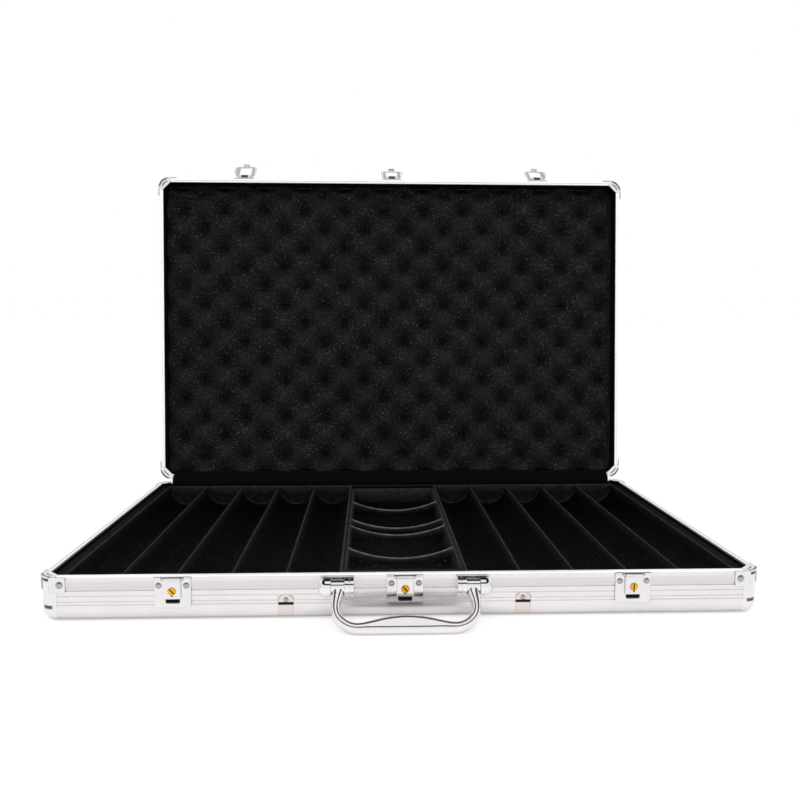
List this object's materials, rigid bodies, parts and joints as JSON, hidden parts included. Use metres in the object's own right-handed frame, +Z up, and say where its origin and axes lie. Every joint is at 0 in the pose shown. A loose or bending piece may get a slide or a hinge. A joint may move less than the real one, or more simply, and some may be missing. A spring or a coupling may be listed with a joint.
{
  "type": "poker chip case",
  "caption": "Aluminium-framed chip case with flocked channel tray, egg-crate foam in a hinged lid, keyed draw latches and a drop handle.",
  "frame": {"origin": "centre of the base's flat underside", "axes": "+X to the right seen from the latches, +Y from the latches towards the hinges, +Z up; stored with the lid open on its stops"},
  "size_m": [0.5652, 0.4603, 0.4212],
  "materials": {
    "rail_aluminium": "satin anodised",
    "corner_post_plastic": "satin",
    "cap_chrome": "polished",
    "bracket_steel": "bright plated",
    "rivet_steel": "polished",
    "wall_board": "raw board",
    "panel_laminate": "silver laminate",
    "pad_foam": "foam",
    "tray_flock": "flocked",
    "lining_fabric": "felt",
    "egg_crate_foam": "open-cell foam",
    "clip_steel": "plated",
    "latch_chrome": "plated",
    "spring_steel": "spring steel",
    "pin_steel": "bright",
    "lock_brass": "polished",
    "handle_bracket_chrome": "polished",
    "handle_chrome": "polished",
    "hinge_steel": "plated",
    "foot_rubber": "matt"
  },
  "bodies": {
    "base": {"base_front_rail": "rail_aluminium", "base_back_rail": "rail_aluminium", "base_left_rail": "rail_aluminium", "base_right_rail": "rail_aluminium", "base_wall_boards": "wall_board", "base_corner_posts": "corner_post_plastic", "base_corner_caps": "cap_chrome", "base_corner_brackets": "bracket_steel", "base_corner_rivets": "rivet_steel", "bottom_panel": "panel_laminate", "tray_base_pad": "pad_foam", "chip_tray": "tray_flock", "base_lining": "lining_fabric", "edge_clips": "clip_steel", "edge_clip_rivets": "rivet_steel", "latch_keeper_plates": "latch_chrome", "keeper_rivets": "rivet_steel", "catch_springs": "spring_steel", "catch_pins": "pin_steel", "handle_brackets": "handle_bracket_chrome", "handle_screws": "pin_steel", "handle_pins": "pin_steel", "hinge_base_leaves": "hinge_steel", "hinge_pins": "pin_steel", "hinge_base_rivets": "rivet_steel", "rubber_feet_base": "foot_rubber", "hinge_lining": "lining_fabric"},
    "lid": {"lid_front_rail": "rail_aluminium", "lid_back_rail": "rail_aluminium", "lid_left_rail": "rail_aluminium", "lid_right_rail": "rail_aluminium", "lid_wall_boards": "wall_board", "lid_corner_posts": "corner_post_plastic", "lid_corner_caps": "cap_chrome", "lid_corner_brackets": "bracket_steel", "lid_corner_rivets": "rivet_steel", "lid_panel": "panel_laminate", "lid_lining": "lining_fabric", "lid_foam": "egg_crate_foam", "hinge_lid_leaves": "hinge_steel", "hinge_lid_rivets": "rivet_steel", "latch_hinge_plates": "latch_chrome", "latch_plate_rivets": "rivet_steel", "latch_lever_pins": "pin_steel", "rubber_feet_lid": "foot_rubber"},
    "handle": {"carry_handle": "handle_chrome"},
    "catch_left": {"catch_tongue_left": "latch_chrome"},
    "lock_left": {"lock_cylinder_left": "lock_brass"},
    "lever_left": {"latch_lever_left": "latch_chrome"},
    "catch_centre": {"catch_tongue_centre": "latch_chrome"},
    "lock_centre": {"lock_cylinder_centre": "lock_brass"},
    "lever_centre": {"latch_lever_centre": "latch_chrome"},
    "catch_right": {"catch_tongue_right": "latch_chrome"},
    "lock_right": {"lock_cylinder_right": "lock_brass"},
    "lever_right": {"latch_lever_right": "latch_chrome"}
  },
  "joints": [
    {"name": "lid_hinge", "type": "hinge", "parent": "base", "child": "lid", "pos_m": [0, 0.184, 0.036], "axis": [1, 0, 0], "range_deg": [0, 94.4], "deforming": ["hinge_lining"]},
    {"name": "handle_pivot", "type": "hinge", "parent": "base", "child": "handle", "pos_m": [0, -0.189, 0.0285], "axis": [-1, 0, 0], "range_deg": [-43, 70]},
    {"name": "lever_left_pivot", "type": "hinge", "parent": "lid", "child": "lever_left", "pos_m": [-0.178, 0.21725, 0.40293], "axis": [-1, 0, 0], "range_deg": [-136, 24]},
    {"name": "catch_left_rock", "type": "hinge", "parent": "base", "child": "catch_left", "pos_m": [-0.178, -0.1836, 0.034], "axis": [-1, 0, 0], "range_deg": [0, 8], "stiffness_Nm_per_rad": 0.02, "springref_deg": -11.46},
    {"name": "lock_left_turn", "type": "hinge", "parent": "catch_left", "child": "lock_left", "pos_m": [-0.178, -0.184, 0.0248], "axis": [0, -1, 0], "range_deg": [0, 90]},
    {"name": "lever_centre_pivot", "type": "hinge", "parent": "lid", "child": "lever_centre", "pos_m": [0, 0.21725, 0.40293], "axis": [-1, 0, 0], "range_deg": [-146, 14]},
    {"name": "catch_centre_rock", "type": "hinge", "parent": "base", "child": "catch_centre", "pos_m": [0, -0.1836, 0.034], "axis": [-1, 0, 0], "range_deg": [0, 8], "stiffness_Nm_per_rad": 0.02, "springref_deg": -11.46},
    {"name": "lock_centre_turn", "type": "hinge", "parent": "catch_centre", "child": "lock_centre", "pos_m": [0, -0.184, 0.0248], "axis": [0, -1, 0], "range_deg": [0, 90]},
    {"name": "lever_right_pivot", "type": "hinge", "parent": "lid", "child": "lever_right", "pos_m": [0.178, 0.21725, 0.40293], "axis": [-1, 0, 0], "range_deg": [-142.6, 17.4]},
    {"name": "catch_right_rock", "type": "hinge", "parent": "base", "child": "catch_right", "pos_m": [0.178, -0.1836, 0.034], "axis": [-1, 0, 0], "range_deg": [0, 8], "stiffness_Nm_per_rad": 0.02, "springref_deg": -11.46},
    {"name": "lock_right_turn", "type": "hinge", "parent": "catch_right", "child": "lock_right", "pos_m": [0.178, -0.184, 0.0248], "axis": [0, -1, 0], "range_deg": [0, 90]}
  ]
}
